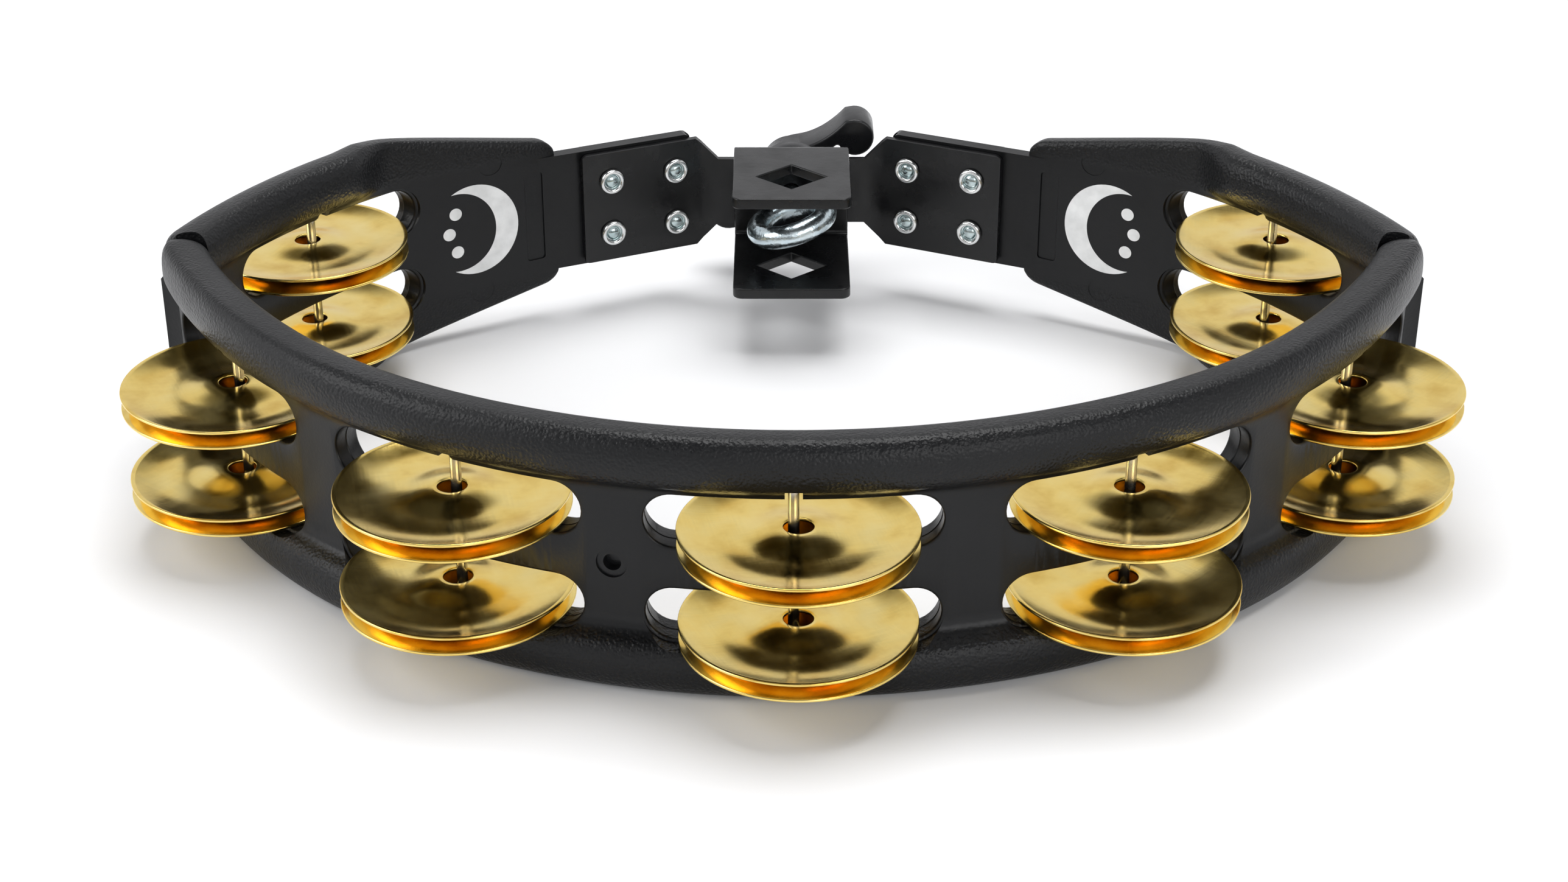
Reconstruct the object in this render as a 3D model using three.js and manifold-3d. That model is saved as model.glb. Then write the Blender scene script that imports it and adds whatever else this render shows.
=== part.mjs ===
// A rod-mounted crescent tambourine: a lens-shaped moulded frame with two rows of brass jingles,
// held by a steel bracket and a rod clamp. Millimetres, +Z up, front bow towards -Y.
// The origin is below the middle of the object, on the plane that it rests on.
import * as THREE from "three";
import { mergeVertices } from "three/addons/utils/BufferGeometryUtils.js";
import Module from "manifold-3d";

const wasm = await Module();
wasm.setup();

// ---- driving dimensions ----
const GAP = 0.3; // clearance between pieces that touch on the real object
const TALL = 100; // longer than any piece it cuts
const ORIGIN_SHIFT = { y: 55.26, z: 30.6 }; // from the bow's arc centre at mid-height to the origin

// frame: heights are from mid-height, angles from the middle of each arc
const HALF_HEIGHT = 30.6;
const WEB = 8; // thickness of the web that the slots go through
const BEAD_BULGE = 5.5; // how far the edge bead stands out on its full side
const BEAD_LIP = 0.4; // and on its other side
const STEP_LENGTH = 14; // along a swept piece
const BOW = { radius: 153, halfAngle: 69.4, endRound: 6, taper: 2.5, taperFrom: 35, taperTo: 60 };
const WING = { radius: 154.7, centreY: -103, startAngle: 71.5, beadFullAngle: 53, beadEndAngle: 43.4 };
const WING_CORNER_ROUND = 5;
const PLATE_END = { x: 64.6, y: 34.8, angle: 31, halfHeight: 19.8, cornerRound: 4 };
const PLATE_TAPER_X = 112;
const PLATE_BACK = 2.4; // the plate's outer face, from the middle line of the frame's web
const PLATE_EDGE = 1.5; // chamfer along the plate's edges

// slots, pins and jingles
const SLOT_PITCH = 27.8;
const SLOT = { length: 62, height: 12.2 };
const WING_SLOT_LENGTH = 59;
const ROWS = { upper: 9.4, lower: -12.8 };
const BOW_PIN_RADIUS = 153.3;
const WING_PIN = { angle: 52, radius: 155.5 };
const PIN = { radius: 1.2, hole: 1.5, top: 20.5, bottom: -23, notchWidth: 3.7 };
const DISC = { radius: 25.4, hole: 3.2, gauge: 0.7, crown: 1.6, trough: 0.15, troughRadius: 16, rim: 1.6 };
const DISC_HANG = 1.6; // each pair has slid until its holes rest near the pin, outwards or leaning
const LEAN = { bow_middle: 40, bow_right: -40 };
const DISC_SEGMENTS = 16;

// bracket: two ears bent forward from a flat neck
const EAR = { angle: 24.7, x: 40.05, y: 38.8, innerEnd: -16.2, outerEnd: 17.4, halfHeight: 15.5, cornerRound: 2 };
const STRAP = 1.8; // sheet thickness
const NECK = { frontY: 46, halfWidth: 20, halfHeight: 9.3, chamferX: 26 };
const TONGUE = { thickness: 3.5, halfHeight: 16.3, innerEnd: -14.5, outerEnd: 32 };
const RIVET = { u: 9.3, upperZ: 7.4, lowerZ: -7.6, head: 3.5, shank: 2, hole: 2.3, headHeight: 1.1 };

// rod clamp
const CLAMP = { width: 31, frontY: 5.6, backY: 45.7, halfHeight: 14.2, wall: 2.9, bend: 4 };
const DIAMOND = { halfWidth: 9.25, halfDepth: 8.4, y: 21.3 };
const EYE = { ring: 9.4, wire: 3, tilt: 16, y: 24.5, boltEnd: 68, boltHole: 3.3 };
const WASHER = { radius: 8, thickness: 1.5 };
const INSERT = { radius: 5, length: 14.5, flangeRadius: 7, flange: 1.2 };
const HANDLE = { hubRadius: 10.5, hubDepth: 7, bossRadius: 8, tipX: 17.6, tipZ: 11, tipRadius: 5.3 };
const ARM = { from: 57.4, to: 69.4 }; // how far back the handle's arms lie

const degrees = THREE.MathUtils.degToRad;

// ---- materials ----
const MATERIALS = {
  plastic: new THREE.MeshStandardMaterial({ color: 0x17181a, roughness: 0.5, metalness: 0 }),
  black_steel: new THREE.MeshStandardMaterial({ color: 0x0d0e0f, roughness: 0.3, metalness: 0.2 }),
  brass: new THREE.MeshStandardMaterial({ color: 0xc9a44c, roughness: 0.15, metalness: 1 }),
  zinc: new THREE.MeshStandardMaterial({ color: 0xa9bcc2, roughness: 0.3, metalness: 1 }),
  nickel: new THREE.MeshStandardMaterial({ color: 0xc9cbcc, roughness: 0.25, metalness: 1 }),
};

// ---- solids ----
// Makes a solid from a closed geometry, with its faces turned outwards.
function solidOf(geometry) {
  const bare = geometry.index ? geometry.toNonIndexed() : geometry.clone();
  bare.deleteAttribute("normal");
  bare.deleteAttribute("uv");
  const merged = mergeVertices(bare, 1e-4);
  const triangles = [];
  const index = merged.index.array;
  for (let i = 0; i < index.length; i += 3) {
    const [a, b, c] = index.slice(i, i + 3);
    if (a !== b && b !== c && c !== a) triangles.push([a, b, c]);
  }
  const build = (faces) =>
    new wasm.Manifold(
      new wasm.Mesh({
        numProp: 3,
        vertProperties: merged.attributes.position.array,
        triVerts: new Uint32Array(faces.flat()),
      }),
    );
  const solid = build(triangles);
  return solid.volume() > 0 ? solid : build(triangles.map(([a, b, c]) => [a, c, b]));
}

function geometryOf(solid) {
  const mesh = solid.getMesh();
  const geometry = new THREE.BufferGeometry();
  geometry.setAttribute("position", new THREE.BufferAttribute(mesh.vertProperties, 3));
  geometry.setIndex(new THREE.BufferAttribute(mesh.triVerts, 1));
  return geometry;
}

// Extrudes a shape drawn in plan upwards from z = from to z = to.
function plan(shape, from, to, curveSegments = 8) {
  const options = { depth: to - from, bevelEnabled: false, curveSegments };
  return new THREE.ExtrudeGeometry(shape, options).translate(0, 0, from);
}

// Extrudes a shape drawn in front view (x, z) from y = from to y = to.
function front(shape, from, to, curveSegments = 8) {
  const options = { depth: to - from, bevelEnabled: false, curveSegments };
  return new THREE.ExtrudeGeometry(shape, options).rotateX(Math.PI / 2).translate(0, to, 0);
}

// A cylinder along Z or Y.
function rod(radius, from, to, axis, sides = 16) {
  const geometry = new THREE.CylinderGeometry(radius, radius, to - from, sides);
  if (axis === "z") geometry.rotateX(Math.PI / 2);
  return geometry.translate(0, axis === "y" ? (from + to) / 2 : 0, axis === "z" ? (from + to) / 2 : 0);
}

// A body of revolution about Z, or about Y, from a profile of [radius, height] pairs.
function turned(profile, segments, axis = "z") {
  const points = profile.map(([radius, height]) => new THREE.Vector2(radius, height));
  const geometry = new THREE.LatheGeometry(points, segments);
  return axis === "z" ? geometry.rotateX(Math.PI / 2) : geometry;
}

function roundedRectangle(x0, z0, x1, z1, round) {
  const shape = new THREE.Shape();
  shape.moveTo(x0 + round, z0);
  shape.lineTo(x1 - round, z0);
  shape.absarc(x1 - round, z0 + round, round, -Math.PI / 2, 0);
  shape.lineTo(x1, z1 - round);
  shape.absarc(x1 - round, z1 - round, round, 0, Math.PI / 2);
  shape.lineTo(x0 + round, z1);
  shape.absarc(x0 + round, z1 - round, round, Math.PI / 2, Math.PI);
  shape.lineTo(x0, z0 + round);
  shape.absarc(x0 + round, z0 + round, round, Math.PI, Math.PI * 1.5);
  return shape;
}

function cut(solid, ...tools) {
  return tools.reduce((left, tool) => left.subtract(solidOf(tool)), solid);
}

// ---- frame sections and paths ----
// A point on an arc about (0, centreY): the angle is from the arc's middle, which faces side * Y.
function arcPoint(radius, angle, centreY, side) {
  const turn = degrees(angle);
  return new THREE.Vector3(radius * Math.sin(turn), centreY + side * radius * Math.cos(turn), 0);
}

// The frame's section: a web with a rounded bead along both edges. Distances are (outwards, up).
// fullSide is 1 when the bead's full side faces outwards and -1 when it faces inwards.
function frameSection(fullSide) {
  const half = WEB / 2;
  const full = half + BEAD_BULGE;
  const lip = half + BEAD_LIP;
  const top = HALF_HEIGHT;
  const edge = new THREE.Path();
  edge.moveTo(half, 14);
  edge.quadraticCurveTo(half, 17.2, half + 2.2, 18.2);
  edge.quadraticCurveTo(full, 19.6, full, 24);
  edge.bezierCurveTo(full, top - 2, full - 2, top, half + 1.5, top);
  edge.bezierCurveTo(half - 4.5, top, -lip, top - 2.4, -lip, 22.5);
  edge.lineTo(-half, 18);
  const upper = edge.getPoints(3);
  const lower = upper.map((point) => new THREE.Vector2(point.x, -point.y)).reverse();
  // A swept shape's first axis points down and its second to the left of the path.
  return new THREE.Shape([...upper, ...lower].map(({ x, y }) => new THREE.Vector2(-y, -x * fullSide)));
}

function plateSection() {
  const [front, high, edge] = [-WEB / 2, HALF_HEIGHT - 0.3, PLATE_EDGE];
  const corners = [
    [high - edge, PLATE_BACK],
    [high, PLATE_BACK - edge],
    [high, front + edge],
    [high - edge, front],
  ];
  const outline = [...corners, ...corners.map(([z, out]) => [-z, out]).reverse()];
  return new THREE.Shape(outline.map(([z, out]) => new THREE.Vector2(z, out)));
}

function sweep(section, points) {
  const path = new THREE.CatmullRomCurve3(points);
  const steps = Math.round(path.getLength() / STEP_LENGTH);
  return new THREE.ExtrudeGeometry(section, { extrudePath: path, steps });
}

// The bow's outline in plan: an arc band with half-oval ends, grown by a margin. Its outer side
// narrows towards the ends.
function bowOutline(margin) {
  const inner = BOW.radius - WEB / 2 - BEAD_LIP - margin;
  const outerAt = (angle) => {
    const narrowing = THREE.MathUtils.smoothstep(Math.abs(angle), BOW.taperFrom, BOW.taperTo);
    return BOW.radius + WEB / 2 + BEAD_BULGE + margin - BOW.taper * narrowing;
  };
  const middle = (inner + outerAt(BOW.halfAngle)) / 2;
  const halfBand = outerAt(BOW.halfAngle) - middle;
  const endAngle = BOW.halfAngle - THREE.MathUtils.radToDeg(BOW.endRound / middle);
  const end = [];
  for (let turn = 0; turn <= 180; turn += 18) {
    const radius = middle + halfBand * Math.cos(degrees(turn));
    const reach = (BOW.endRound + margin) * Math.sin(degrees(turn));
    end.push(arcPoint(radius, endAngle + THREE.MathUtils.radToDeg(reach / middle), 0, -1));
  }
  const outline = [];
  for (let angle = -endAngle + 3; angle < endAngle - 2; angle += 4) {
    outline.push(arcPoint(outerAt(angle), angle, 0, -1));
  }
  outline.push(...end);
  for (let angle = endAngle - 3; angle > -endAngle + 2; angle -= 4) {
    outline.push(arcPoint(inner, angle, 0, -1));
  }
  outline.push(...end.map((point) => new THREE.Vector3(-point.x, point.y, 0)).reverse());
  return new THREE.Shape(outline.map((point) => new THREE.Vector2(point.x, point.y)));
}

// ---- slots, pins and jingles ----
// Every jingle position as { name, x, y, turn }: turn is the direction of its slot about Z.
const POSITIONS = [-2, -1, 0, 1, 2].map((place) => {
  const angle = place * SLOT_PITCH;
  const { x, y } = arcPoint(BOW_PIN_RADIUS, angle, 0, -1);
  const names = { "-2": "bow_far_left", "-1": "bow_left", 0: "bow_middle", 1: "bow_right", 2: "bow_far_right" };
  return { name: names[place], x, y, turn: angle };
});
const wingPin = arcPoint(WING_PIN.radius, WING_PIN.angle, WING.centreY, 1);
const RIGHT_WING_POSITION = { name: "wing_right", x: wingPin.x, y: wingPin.y, turn: 180 - WING_PIN.angle };
const LEFT_WING_POSITION = { name: "wing_left", x: -wingPin.x, y: wingPin.y, turn: WING_PIN.angle - 180 };

// The tools that cut a position's two slots, pin hole and pin notch.
function slotTools({ x, y, turn }, length) {
  const place = (geometry) => geometry.rotateZ(degrees(turn)).translate(x, y, 0);
  const tools = Object.values(ROWS).map((z) => {
    const [low, high] = [z - SLOT.height / 2, z + SLOT.height / 2];
    const shape = roundedRectangle(-length / 2, low, length / 2, high, SLOT.height / 2 - 0.01);
    return place(front(shape, -WEB * 2, WEB * 2, 2));
  });
  tools.push(place(rod(PIN.hole, PIN.bottom - GAP, PIN.top + GAP, "z", 8)));
  const slotTop = ROWS.upper + SLOT.height / 2;
  const notch = new THREE.BoxGeometry(PIN.notchWidth, WEB, PIN.top - slotTop);
  tools.push(place(notch.translate(0, -WEB / 2, (PIN.top + slotTop) / 2 - 1)));
  return tools;
}

function pinSolid() {
  return solidOf(rod(PIN.radius, PIN.bottom, PIN.top, "z", 8));
}

// One brass disc: crowned round its hole, lowest where it meets its mate, flared at the rim.
function discSolid(side) {
  const lower = [
    [DISC.hole, DISC.crown],
    [DISC.troughRadius, DISC.trough],
    [DISC.radius, DISC.rim],
  ];
  const upper = lower.map(([radius, height]) => [radius, height + DISC.gauge]).reverse();
  const profile = [...lower, ...upper, lower[0]].map(([radius, height]) => [radius, height * side]);
  return solidOf(turned(profile, DISC_SEGMENTS));
}

// ---- frame pieces ----
function bowSolid() {
  const points = [];
  for (let step = -12; step <= 12; step += 1) {
    points.push(arcPoint(BOW.radius, (step / 12) * (BOW.halfAngle + 1), 0, -1));
  }
  const band = solidOf(sweep(frameSection(1), points));
  const body = band.intersect(solidOf(plan(bowOutline(0), -TALL, TALL)));
  return cut(body, ...POSITIONS.flatMap((position) => slotTools(position, SLOT.length)));
}

// A point of the right wing, offset outwards from its middle line.
function wingPoint(angle, offset = 0) {
  return arcPoint(WING.radius + offset, angle, WING.centreY, 1);
}

// The middle line of the right wing's arc, from one angle down to another.
function wingPath(startAngle, endAngle) {
  const points = [];
  for (let angle = startAngle; angle > endAngle + 1; angle -= 4) {
    points.push(wingPoint(angle));
  }
  points.push(wingPoint(endAngle));
  return points;
}

// The plate straightens from the arc towards the direction of the bracket's ear.
function platePath() {
  const start = wingPoint(WING.beadEndAngle);
  const end = new THREE.Vector3(PLATE_END.x, PLATE_END.y, 0);
  const [leaveLength, arriveLength] = [8, 15];
  const leave = degrees(WING.beadEndAngle);
  const arrive = degrees(PLATE_END.angle);
  const first = new THREE.Vector3(-Math.cos(leave), Math.sin(leave), 0).multiplyScalar(leaveLength);
  const second = new THREE.Vector3(Math.cos(arrive), -Math.sin(arrive), 0).multiplyScalar(arriveLength);
  return new THREE.CubicBezierCurve3(start, first.add(start), second.add(end), end).getPoints(4).slice(1);
}

// In front view, the plate narrows towards the bracket and has rounded end corners.
function plateOutline() {
  const { x, halfHeight, cornerRound } = PLATE_END;
  const slope = (HALF_HEIGHT - halfHeight) / (PLATE_TAPER_X - x);
  const corner = { x: x + cornerRound, z: halfHeight + slope * cornerRound };
  const shape = new THREE.Shape();
  shape.moveTo(TALL * 2, -HALF_HEIGHT);
  shape.lineTo(TALL * 2, HALF_HEIGHT);
  shape.lineTo(PLATE_TAPER_X, HALF_HEIGHT);
  shape.lineTo(corner.x, corner.z);
  shape.quadraticCurveTo(x, halfHeight, x, halfHeight - cornerRound);
  shape.lineTo(x, cornerRound - halfHeight);
  shape.quadraticCurveTo(x, -halfHeight, corner.x, -corner.z);
  shape.lineTo(PLATE_TAPER_X, -HALF_HEIGHT);
  return shape;
}

// In plan, the inner side of the wing's bead fades into the plate.
function wingBeadOutline() {
  const outer = WEB / 2 + BEAD_LIP + GAP;
  const inner = -WEB / 2 - BEAD_BULGE - GAP;
  const fadeTo = -WEB / 2 + GAP;
  const outline = [];
  for (let angle = WING.beadEndAngle - 1; angle < WING.startAngle + 2; angle += 3) {
    outline.push(wingPoint(angle, outer));
  }
  for (let angle = WING.startAngle + 2; angle > WING.beadFullAngle; angle -= 4) {
    outline.push(wingPoint(angle, inner));
  }
  for (let fade = 0; fade <= 1; fade += 0.2) {
    const angle = THREE.MathUtils.lerp(WING.beadFullAngle, WING.beadEndAngle, fade);
    const offset = THREE.MathUtils.lerp(inner, fadeTo, THREE.MathUtils.smoothstep(fade, 0, 1));
    outline.push(wingPoint(angle, offset));
  }
  return new THREE.Shape(outline.map((point) => new THREE.Vector2(point.x, point.y)));
}

// Cuts the wing's outer corner round, where it wraps the end of the bow.
function wingCornerCutter() {
  const corner = wingPoint(WING.startAngle, WEB / 2 + BEAD_LIP);
  const inward = wingPoint(WING.startAngle, 0).sub(corner).normalize();
  const along = wingPoint(WING.startAngle - 1, WEB / 2).sub(wingPoint(WING.startAngle, WEB / 2)).normalize();
  const at = (inwards, forwards) => {
    const point = corner.clone().addScaledVector(inward, inwards).addScaledVector(along, forwards);
    return [point.x, point.y];
  };
  const round = WING_CORNER_ROUND;
  const shape = new THREE.Shape();
  shape.moveTo(...at(round, -round));
  shape.lineTo(...at(round, 0));
  shape.quadraticCurveTo(...at(0, 0), ...at(0, round));
  shape.lineTo(...at(-round, round));
  shape.lineTo(...at(-round, -round));
  return plan(shape, -TALL, TALL, 4);
}

// Moves a geometry from the ear's own axes (u outwards along it, v backwards) to its place.
function onEar(geometry) {
  return geometry.rotateZ(-degrees(EAR.angle)).translate(EAR.x, EAR.y, 0);
}

function rivetSpots() {
  return [-RIVET.u, RIVET.u].flatMap((u) => [RIVET.upperZ, RIVET.lowerZ].map((z) => ({ u, z })));
}

function rivetHoles() {
  return rivetSpots().map(({ u, z }) => onEar(rod(RIVET.hole, -WEB, WEB * 2, "y", 8).translate(u, 0, z)));
}

function tongueSolid() {
  const from = STRAP + GAP;
  const outline = roundedRectangle(TONGUE.innerEnd, -TONGUE.halfHeight, TONGUE.outerEnd, TONGUE.halfHeight, 1.5);
  return solidOf(onEar(front(outline, from, from + TONGUE.thickness, 3)));
}

function rightWingSolid() {
  const overlap = 3; // degrees of arc that the plate shares with the bead
  const plateLine = [...wingPath(WING.beadEndAngle + overlap, WING.beadEndAngle), ...platePath()];
  const plate = solidOf(sweep(plateSection(), plateLine));
  const outline = solidOf(front(plateOutline(), -TALL * 2, TALL * 2, 4));
  const band = solidOf(sweep(frameSection(-1), wingPath(WING.startAngle, WING.beadEndAngle)));
  const bead = band.intersect(solidOf(plan(wingBeadOutline(), -TALL, TALL)));
  const whole = plate.add(bead).intersect(outline).add(tongueSolid());
  const tools = [wingCornerCutter(), plan(bowOutline(GAP), -TALL, TALL), ...rivetHoles()];
  return cut(whole, ...tools, ...slotTools(RIGHT_WING_POSITION, WING_SLOT_LENGTH));
}

// ---- bracket ----
function bracketSolid() {
  const bendX = EAR.x - (NECK.frontY - EAR.y) / Math.tan(degrees(EAR.angle));
  const reach = EAR.outerEnd * Math.cos(degrees(EAR.angle));
  const drop = EAR.outerEnd * Math.sin(degrees(EAR.angle));
  const frontLine = [
    [bendX, NECK.frontY],
    [EAR.x + reach, EAR.y - drop],
  ];
  const back = { x: STRAP * Math.sin(degrees(EAR.angle)), y: STRAP * Math.cos(degrees(EAR.angle)) };
  const bendBack = STRAP * Math.tan(degrees(EAR.angle / 2));
  const half = [
    ...frontLine,
    [frontLine[1][0] + back.x, frontLine[1][1] + back.y],
    [bendX + bendBack, NECK.frontY + STRAP],
  ];
  const mirrored = half.map(([x, y]) => [-x, y]).reverse();
  const strip = new THREE.Shape([...half, ...mirrored].map(([x, y]) => new THREE.Vector2(x, y)));
  const outline = new THREE.Shape();
  const outerX = EAR.x + reach + back.x;
  const round = EAR.cornerRound;
  outline.moveTo(-NECK.halfWidth, NECK.halfHeight);
  outline.lineTo(NECK.halfWidth, NECK.halfHeight);
  outline.lineTo(NECK.chamferX, EAR.halfHeight);
  outline.lineTo(outerX - round, EAR.halfHeight);
  outline.absarc(outerX - round, EAR.halfHeight - round, round, Math.PI / 2, 0, true);
  outline.absarc(outerX - round, round - EAR.halfHeight, round, 0, -Math.PI / 2, true);
  outline.lineTo(NECK.chamferX, -EAR.halfHeight);
  outline.lineTo(NECK.halfWidth, -NECK.halfHeight);
  outline.lineTo(-NECK.halfWidth, -NECK.halfHeight);
  outline.lineTo(-NECK.chamferX, -EAR.halfHeight);
  outline.absarc(round - outerX, round - EAR.halfHeight, round, -Math.PI / 2, -Math.PI, true);
  outline.absarc(round - outerX, EAR.halfHeight - round, round, Math.PI, Math.PI / 2, true);
  outline.lineTo(-NECK.chamferX, EAR.halfHeight);
  const body = solidOf(plan(strip, -TALL, TALL)).intersect(solidOf(front(outline, 0, TALL, 3)));
  const holes = rivetHoles();
  const mirroredHoles = rivetHoles().map((hole) => hole.scale(-1, 1, 1));
  return cut(body, ...holes, ...mirroredHoles, rod(EYE.boltHole, 0, TALL, "y"));
}

function backingPlateSolid() {
  const from = STRAP + TONGUE.thickness + GAP * 2;
  const { innerEnd, outerEnd, halfHeight, cornerRound } = EAR;
  const outline = roundedRectangle(innerEnd, -halfHeight, outerEnd, halfHeight, cornerRound);
  return cut(solidOf(onEar(front(outline, from, from + STRAP, 2))), ...rivetHoles());
}

// A tubular rivet along v, its rolled head in front and its flared tail behind.
function rivetSolid({ u, z }) {
  const stack = STRAP * 2 + TONGUE.thickness + GAP * 3;
  const { head, shank, headHeight } = RIVET;
  const profile = [
    [0, -GAP - headHeight * 0.55],
    [head * 0.6, -GAP - headHeight * 0.55],
    [head * 0.75, -GAP - headHeight],
    [head, -GAP - headHeight * 0.5],
    [head, -GAP],
    [shank, -GAP],
    [shank, stack],
    [head, stack],
    [head * 0.8, stack + headHeight],
    [0, stack + headHeight],
  ];
  return solidOf(onEar(turned(profile, 10, "y").translate(u, 0, z)));
}

// ---- rod clamp ----
function clampSolid() {
  const { width, frontY, backY, halfHeight, wall, bend } = CLAMP;
  const section = new THREE.Shape();
  section.moveTo(frontY, halfHeight);
  section.lineTo(frontY, halfHeight - wall);
  section.lineTo(backY - bend, halfHeight - wall);
  section.absarc(backY - bend, halfHeight - bend, bend - wall, Math.PI / 2, 0, true);
  section.absarc(backY - bend, bend - halfHeight, bend - wall, 0, -Math.PI / 2, true);
  section.lineTo(frontY, wall - halfHeight);
  section.lineTo(frontY, -halfHeight);
  section.absarc(backY - bend, bend - halfHeight, bend, -Math.PI / 2, 0);
  section.absarc(backY - bend, halfHeight - bend, bend, 0, Math.PI / 2);
  const options = { depth: width, bevelEnabled: false, curveSegments: 4 };
  const channel = new THREE.ExtrudeGeometry(section, options);
  channel.rotateY(Math.PI / 2).rotateX(Math.PI / 2).translate(-width / 2, 0, 0);
  const footprint = roundedRectangle(-width / 2, frontY, width / 2, backY + bend, 2.5);
  const diamond = new THREE.Shape();
  diamond.moveTo(DIAMOND.halfWidth, DIAMOND.y);
  diamond.lineTo(0, DIAMOND.y + DIAMOND.halfDepth);
  diamond.lineTo(-DIAMOND.halfWidth, DIAMOND.y);
  diamond.lineTo(0, DIAMOND.y - DIAMOND.halfDepth);
  const body = solidOf(channel).intersect(solidOf(plan(footprint, -TALL, TALL, 3)));
  return cut(body, plan(diamond, -TALL, TALL), rod(EYE.boltHole, DIAMOND.y, TALL, "y"));
}

function eyeBoltSolid() {
  const ring = new THREE.TorusGeometry(EYE.ring, EYE.wire, 8, 20);
  ring.rotateY(-degrees(EYE.tilt)).translate(0, EYE.y, 0);
  const shank = rod(EYE.wire, EYE.y + EYE.ring, EYE.boltEnd, "y", 12);
  return solidOf(ring).add(solidOf(shank));
}

function ringSolid(inner, outer, from, to) {
  return cut(solidOf(rod(outer, from, to, "y", 20)), rod(inner, from - 1, to + 1, "y", 16));
}

const WASHER_FROM = NECK.frontY + STRAP + GAP;
const INSERT_FROM = WASHER_FROM + WASHER.thickness + GAP;
const HANDLE_FROM = INSERT_FROM + INSERT.flange + GAP;

function insertSolid() {
  const flange = solidOf(rod(INSERT.flangeRadius, INSERT_FROM, INSERT_FROM + INSERT.flange, "y", 20));
  const barrel = solidOf(rod(INSERT.radius, INSERT_FROM, INSERT_FROM + INSERT.length, "y", 16));
  return cut(flange.add(barrel), rod(EYE.boltHole, 0, TALL, "y"));
}

// One arm of the handle, rising from the hub to a rounded tip that curls back on itself.
function handleArm() {
  const { bossRadius, tipX, tipZ, tipRadius } = HANDLE;
  const shape = new THREE.Shape();
  shape.moveTo(-bossRadius, bossRadius * 0.3);
  shape.quadraticCurveTo(-bossRadius * 0.5, bossRadius * 0.9, 2, bossRadius);
  shape.quadraticCurveTo(9, bossRadius * 1.15, tipX - 2.6, tipZ + tipRadius * 0.92);
  shape.absarc(tipX, tipZ, tipRadius, degrees(113), degrees(-100), true);
  shape.quadraticCurveTo(tipX - 2.5, tipZ - 1.5, bossRadius, -1);
  shape.lineTo(0, -bossRadius * 0.6);
  return front(shape, ARM.from, ARM.to, 4);
}

function handleSolid() {
  const { hubRadius, hubDepth, bossRadius } = HANDLE;
  const hub = solidOf(rod(hubRadius, HANDLE_FROM, HANDLE_FROM + hubDepth, "y", 24));
  const boss = solidOf(rod(bossRadius, HANDLE_FROM, ARM.to - 1, "y", 20));
  const arms = hub.add(boss).add(solidOf(handleArm())).add(solidOf(handleArm().rotateY(Math.PI)));
  return cut(arms, rod(INSERT.radius + GAP, 0, TALL, "y", 16));
}

// ---- assembly ----
const tambourine = new THREE.Group();
tambourine.name = "tambourine";
tambourine.position.set(0, ORIGIN_SHIFT.y, ORIGIN_SHIFT.z);

function addPiece(name, material, solid, position = [0, 0, 0]) {
  const mesh = new THREE.Mesh(geometryOf(solid), MATERIALS[material].clone());
  mesh.name = name;
  mesh.position.set(...position);
  tambourine.add(mesh);
}

function mirrored(solid) {
  return solidOf(geometryOf(solid).scale(-1, 1, 1));
}

addPiece("bow", "plastic", bowSolid());
const rightWing = rightWingSolid();
addPiece("right_wing", "plastic", rightWing);
addPiece("left_wing", "plastic", mirrored(rightWing));

const pin = pinSolid();
const discs = { upper_disc: discSolid(1), lower_disc: discSolid(-1) };
for (const { name, x, y, turn } of [...POSITIONS, LEFT_WING_POSITION, RIGHT_WING_POSITION]) {
  addPiece("pin_" + name, "nickel", pin, [x, y, 0]);
  const slid = degrees(turn + (LEAN[name] ?? 0));
  const hang = { x: x + DISC_HANG * Math.sin(slid), y: y - DISC_HANG * Math.cos(slid) };
  for (const [row, centre] of Object.entries(ROWS)) {
    const middle = centre - SLOT.height / 2 + GAP + DISC.crown + DISC.gauge;
    for (const [disc, solid] of Object.entries(discs)) {
      addPiece([disc, row, name].join("_"), "brass", solid, [hang.x, hang.y, middle]);
    }
  }
}

addPiece("mount_bracket", "black_steel", bracketSolid());
const backingPlate = backingPlateSolid();
addPiece("right_backing_plate", "black_steel", backingPlate);
addPiece("left_backing_plate", "black_steel", mirrored(backingPlate));
rivetSpots().forEach((spot) => {
  const place = [spot.u < 0 ? "inner" : "outer", spot.z < 0 ? "lower" : "upper"].join("_");
  const rivet = rivetSolid(spot);
  addPiece("right_rivet_" + place, "nickel", rivet);
  addPiece("left_rivet_" + place, "nickel", mirrored(rivet));
});

addPiece("rod_clamp", "black_steel", clampSolid());
addPiece("eye_bolt", "zinc", eyeBoltSolid());
const washer = ringSolid(EYE.boltHole, WASHER.radius, WASHER_FROM, WASHER_FROM + WASHER.thickness);
addPiece("clamp_washer", "zinc", washer);
addPiece("handle_insert", "zinc", insertSolid());
addPiece("clamp_handle", "plastic", handleSolid());

export default tambourine;
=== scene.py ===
"""A rod-mounted crescent tambourine: two rows of brass jingle pairs in a moulded black frame,
held by a riveted steel bracket with a rod clamp and a turn handle.

Shapes are worked out in millimetres about the centre of the front bow's arc, at mid-height, and
moved to the shared frame when each piece is made.
"""

import math
import random

import bmesh
import bpy
from mathutils import Matrix, Vector


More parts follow.
